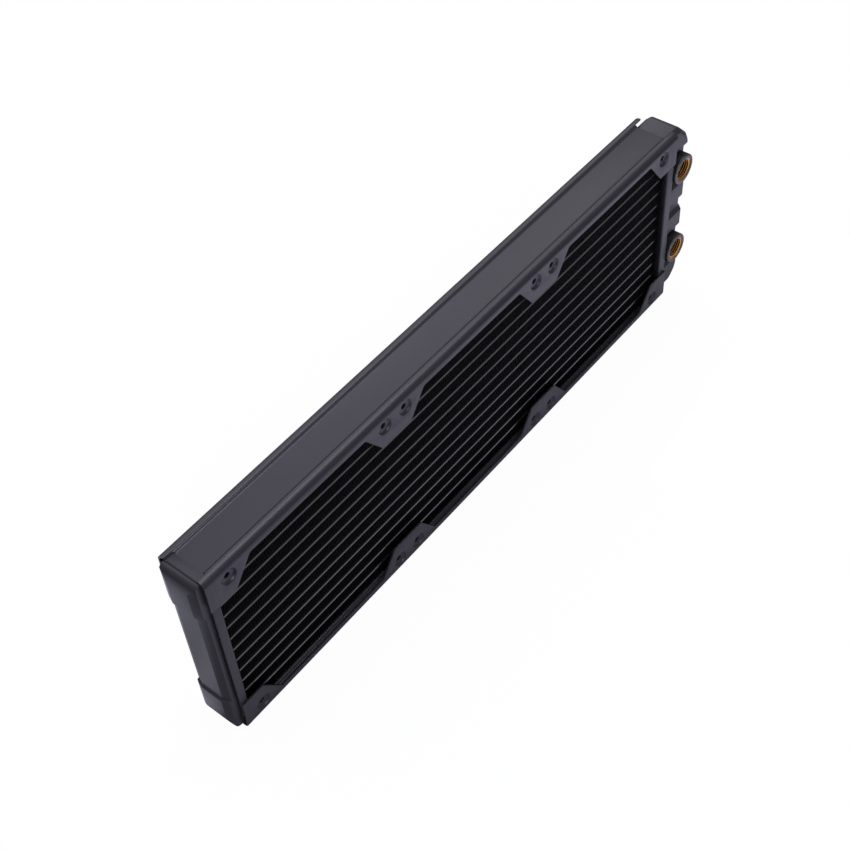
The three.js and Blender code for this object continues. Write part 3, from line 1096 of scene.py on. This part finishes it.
class RADIATOR_OT_studio(bpy.types.Operator):
    """Sets up the pale floor, the soft lights and the camera"""

    bl_idname = "radiator.studio"
    bl_label = "Studio"

    def execute(self, context):
        self.floor(context.scene.radiator_finishes)
        self.lights()
        self.camera()
        context.scene.view_settings.view_transform = "Standard"
        return {"FINISHED"}

    def floor(self, finishes):
        clear_selection()
        bpy.ops.mesh.primitive_circle_add(
            vertices=96, radius=6, fill_type="NGON", location=(0, 0, -0.0002)
        )
        floor = begin("floor")
        bpy.ops.object.mode_set(mode="OBJECT")
        look = Finish("pale_floor")
        shade = finishes.floor
        colour = look.mix(look.noise(3, 2), tone(shade, 0.99), tone(shade, 1.01))
        paint = look.node(
            "ShaderNodeBsdfPrincipled", None, {"Base Color": colour, "Roughness": 0.9}, "BSDF"
        )
        path = [
            look.node("ShaderNodeLightPath", out=name)
            for name in ("Is Camera Ray", "Is Glossy Ray", "Is Transmission Ray")
        ]
        # To the camera the floor is an even white. In a gloss it glows by place, with a painted
        # pattern of light and shadow and a faint violet tint: a painted reflection on the radiator.
        gloss = look.math("MAXIMUM", path[1], path[2])
        strength = look.math("MAXIMUM", path[0], self.painted_gloss_glow(look))
        tint = look.mix(path[0], (0.88, 0.87, 1.04, 1), (1, 1, 1, 1))
        white = look.node(
            "ShaderNodeEmission", None, {"Color": tint, "Strength": strength}, "Emission"
        )
        share = path[0] * 0.96 + gloss * 0.94
        mixed = look.node("ShaderNodeMixShader", None, {0: share, 1: paint, 2: white})
        look.node_output(mixed)
        floor.data.materials.append(look.material)

    def painted_gloss_glow(self, look):
        """How bright the floor glows in a gloss, by its place: a painted pattern of light and shadow
        that the radiator shows as a painted reflection. It is dim under the radiator's front half and
        close before it, halfway dim in a band behind it, and dim past its return end and far off.
        Elsewhere it is full."""
        along, depth = look.along("X"), look.along("Y")
        near = look.spread(look.length(look.place), 0.28, 0.5, 1.0, 0.1)
        # Painted shadow, from the floor's front to its back.
        steps = [(0.08, 1.0), (0.38, 0.5), (0.45, 0.2), (0.5, 0.2), (0.53, 0.75)]
        steps += [(0.62, 0.95), (0.7, 0.5), (0.81, 0.55), (0.9, 1.0)]
        painted_shadow = look.ramp(depth * 5 + 0.5, *steps)
        past = look.spread(along, -0.25, -0.225, 0.1, 1.0)
        behind = look.spread(depth, 0.02, 0.04, 0.0, 1.0)
        end = look.math("MAXIMUM", past, behind)
        front = look.math("LESS_THAN", depth, 0.01)
        side = look.spread(along, -0.2, 0.2, -0.25, 0.15)
        return near * painted_shadow * end * (1 + side * front)

    def lights(self):
        world = bpy.data.worlds.new("studio")
        bpy.context.scene.world = world
        world.use_nodes = True
        nodes, links = world.node_tree.nodes, world.node_tree.links
        place = nodes.new("ShaderNodeTexCoord")
        height = nodes.new("ShaderNodeSeparateXYZ")
        ramp = nodes.new("ShaderNodeValToRGB")
        # Dim at the horizon and brighter overhead.
        stops = ramp.color_ramp.elements
        stops[0].position, stops[0].color = 0.0, (0.12, 0.12, 0.13, 1)
        stops[1].position, stops[1].color = 0.2, (0.32, 0.32, 0.34, 1)
        links.new(place.outputs["Generated"], height.inputs[0])
        links.new(height.outputs["Z"], ramp.inputs["Fac"])
        # Past the floor's edge the camera sees nearly the same white as on the floor.
        rays = nodes.new("ShaderNodeLightPath")
        seen = nodes.new("ShaderNodeMix")
        seen.data_type = "RGBA"
        seen.inputs[7].default_value = (1, 1, 1, 1)
        links.new(rays.outputs["Is Camera Ray"], seen.inputs[0])
        links.new(ramp.outputs["Color"], seen.inputs[6])
        links.new(seen.outputs[2], nodes["Background"].inputs["Color"])
        self.softbox("key_light", (0.6, 1.3, 1.9), (4.2, 3.0), 48)
        self.softbox("over_light", (0.5, -0.1, 2.0), (1.1, 0.9), 14)
        self.softbox("top_light", (-1.1, -1.45, 1.5), (0.9, 0.9), 24)

    def softbox(self, name, place, size, power):
        lamp = bpy.data.lights.new(name, "AREA")
        lamp.shape = "RECTANGLE"
        lamp.size, lamp.size_y = size
        lamp.energy = power
        light = bpy.data.objects.new(name, lamp)
        bpy.context.scene.collection.objects.link(light)
        light.location = place
        radiator_middle = Vector((0, 0, 0.06))
        aim = radiator_middle - light.location
        light.rotation_euler = aim.to_track_quat("-Z", "Y").to_euler()

    def camera(self):
        data = bpy.data.cameras.new("camera")
        data.lens = 59.52
        data.sensor_width = 36
        data.clip_start, data.clip_end = 0.05, 50
        camera = bpy.data.objects.new("camera", data)
        bpy.context.scene.collection.objects.link(camera)
        right = Vector((0.62370, -0.77966, -0.05582))
        up = Vector((0.61086, 0.44162, 0.65713))
        turn = Matrix((right, up, right.cross(up))).transposed()
        place = Matrix.Translation((-0.38194, -0.31848, 0.60451))
        camera.matrix_world = place @ turn.to_4x4()
        bpy.context.scene.camera = camera


class RADIATOR_PT_panel(bpy.types.Panel):
    """Lists the radiator's pieces, sizes and finishes"""

    bl_label = "Radiator"
    bl_idname = "RADIATOR_PT_panel"
    bl_space_type = "VIEW_3D"
    bl_region_type = "UI"
    bl_category = "Radiator"

    def draw(self, context):
        layout = self.layout
        for step in STEPS:
            layout.operator(step.bl_idname)
        for group in (context.scene.radiator_sizes, context.scene.radiator_finishes):
            box = layout.box()
            for name in group.__annotations__:
                box.prop(group, name)


STEPS = (
    RADIATOR_OT_side_plates,
    RADIATOR_OT_end_bars,
    RADIATOR_OT_tanks,
    RADIATOR_OT_ports,
    RADIATOR_OT_tubes,
    RADIATOR_OT_fins,
    RADIATOR_OT_core_plates,
    RADIATOR_OT_studio,
)
CLASSES = (RadiatorSizes, RadiatorFinishes, *STEPS, RADIATOR_PT_panel)


def register():
    for cls in CLASSES:
        bpy.utils.register_class(cls)
    bpy.types.Scene.radiator_sizes = PointerProperty(type=RadiatorSizes)
    bpy.types.Scene.radiator_finishes = PointerProperty(type=RadiatorFinishes)


def unregister():
    del bpy.types.Scene.radiator_finishes
    del bpy.types.Scene.radiator_sizes
    for cls in reversed(CLASSES):
        bpy.utils.unregister_class(cls)


def main():
    register()
    bpy.ops.radiator.side_plates()
    bpy.ops.radiator.end_bars()
    bpy.ops.radiator.tanks()
    bpy.ops.radiator.ports()
    bpy.ops.radiator.tubes()
    bpy.ops.radiator.fins()
    bpy.ops.radiator.core_plates()
    bpy.ops.radiator.studio()


if __name__ == "__main__":
    main()
